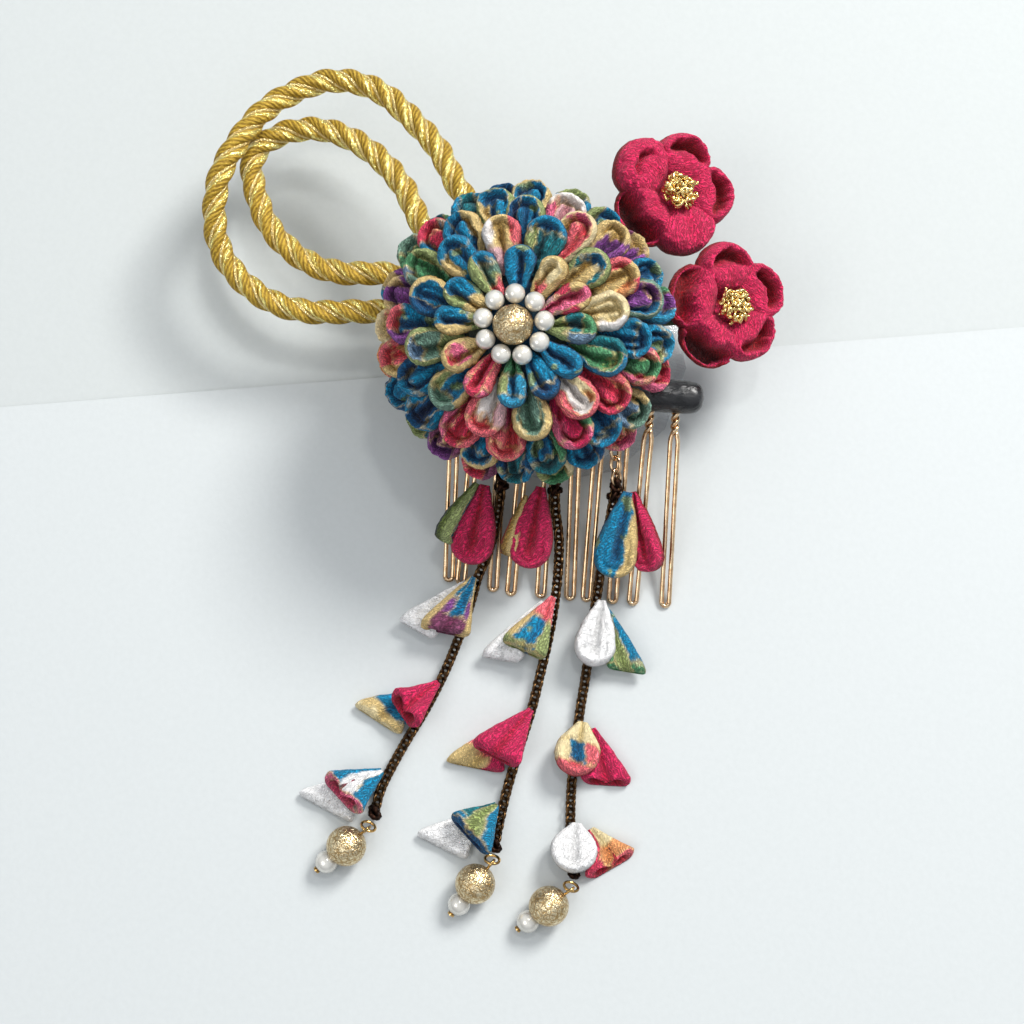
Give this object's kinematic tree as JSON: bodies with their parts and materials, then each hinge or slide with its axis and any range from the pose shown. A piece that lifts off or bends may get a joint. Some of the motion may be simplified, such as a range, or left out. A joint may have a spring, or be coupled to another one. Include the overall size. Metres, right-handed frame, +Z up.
{
  "type": "kanzashi hair comb on its clear display stand",
  "caption": "Hair comb with a crepe chrysanthemum, plum blossoms, a gold cord and hanging petal strings, lying on a low clear display stand.",
  "frame": {"origin": "middle of the comb's spine, on the axis of the spine's wire bundle", "axes": "+X along the spine, to the right when seen from above; +Z up from the surface the ornament lies on; the teeth point to -Y and down"},
  "size_m": [0.1265, 0.1789, 0.0552],
  "materials": {
    "gilt_wire": "pale gold, polished wire",
    "black_tape": "glossy black florist's tape, wound",
    "clear_plastic": "clear polished",
    "crepe_backing": "silk crepe, matte",
    "crepe_ring_1": "silk crepe, patchwork of dyed colours",
    "crepe_ring_2": "silk crepe, patchwork of dyed colours",
    "crepe_ring_3": "silk crepe, patchwork of dyed colours",
    "crepe_ring_4": "silk crepe, patchwork of dyed colours",
    "crepe_ring_5": "silk crepe, patchwork of dyed colours",
    "crepe_ring_6": "silk crepe, patchwork of dyed colours",
    "ring_pearl": "pearl lustre",
    "filigree_bead": "gold, pierced filigree",
    "gold_cord": "gold thread, twisted",
    "crimson_crepe": "silk crepe, matte",
    "stamen_gold": "crinkled gold thread",
    "stem_tape": "dark green florist's tape",
    "bronze_chain": "dark bronze, gold on the worn edges",
    "strand_crepe_1": "silk crepe, patchwork of dyed colours",
    "strand_crepe_2": "silk crepe, white and patchwork",
    "strand_crepe_3": "silk crepe, blue and magenta",
    "strand_crepe_4": "silk crepe, white and blue",
    "gold_finding": "polished gold",
    "stardust_gold": "frosted stardust gold",
    "drop_pearl": "pearl lustre"
  },
  "bodies": {
    "root": {"comb": "gilt_wire", "comb_wrap": "black_tape", "riser": "clear_plastic", "kiku_core": "crepe_backing", "kiku_ring_1": "crepe_ring_1", "kiku_ring_2": "crepe_ring_2", "kiku_ring_3": "crepe_ring_3", "kiku_ring_4": "crepe_ring_4", "kiku_ring_5": "crepe_ring_5", "kiku_ring_6": "crepe_ring_6", "kiku_pearls": "ring_pearl", "kiku_bead": "filigree_bead", "rope_outer_loop": "gold_cord", "rope_inner_loop": "gold_cord", "ume_upper_petals": "crimson_crepe", "ume_upper_stamens": "stamen_gold", "ume_upper_stem": "stem_tape", "ume_lower_petals": "crimson_crepe", "ume_lower_stamens": "stamen_gold", "ume_lower_stem": "stem_tape", "hook_left": "gilt_wire", "chain_left": "bronze_chain", "pair_left_1": "strand_crepe_1", "pair_left_2": "strand_crepe_2", "pair_left_3": "strand_crepe_3", "pair_left_4": "strand_crepe_4", "drop_ring_left": "gold_finding", "drop_pin_left": "gold_finding", "drop_bead_left": "stardust_gold", "drop_pearl_left": "drop_pearl", "hook_middle": "gilt_wire", "chain_middle": "bronze_chain", "pair_middle_1": "strand_crepe_1", "pair_middle_2": "strand_crepe_2", "pair_middle_3": "strand_crepe_3", "pair_middle_4": "strand_crepe_4", "drop_ring_middle": "gold_finding", "drop_pin_middle": "gold_finding", "drop_bead_middle": "stardust_gold", "drop_pearl_middle": "drop_pearl", "hook_right": "gilt_wire", "chain_right": "bronze_chain", "pair_right_1": "strand_crepe_1", "pair_right_2": "strand_crepe_2", "pair_right_3": "strand_crepe_3", "pair_right_4": "strand_crepe_4", "drop_ring_right": "gold_finding", "drop_pin_right": "gold_finding", "drop_bead_right": "stardust_gold", "drop_pearl_right": "drop_pearl"}
  },
  "joints": []
}
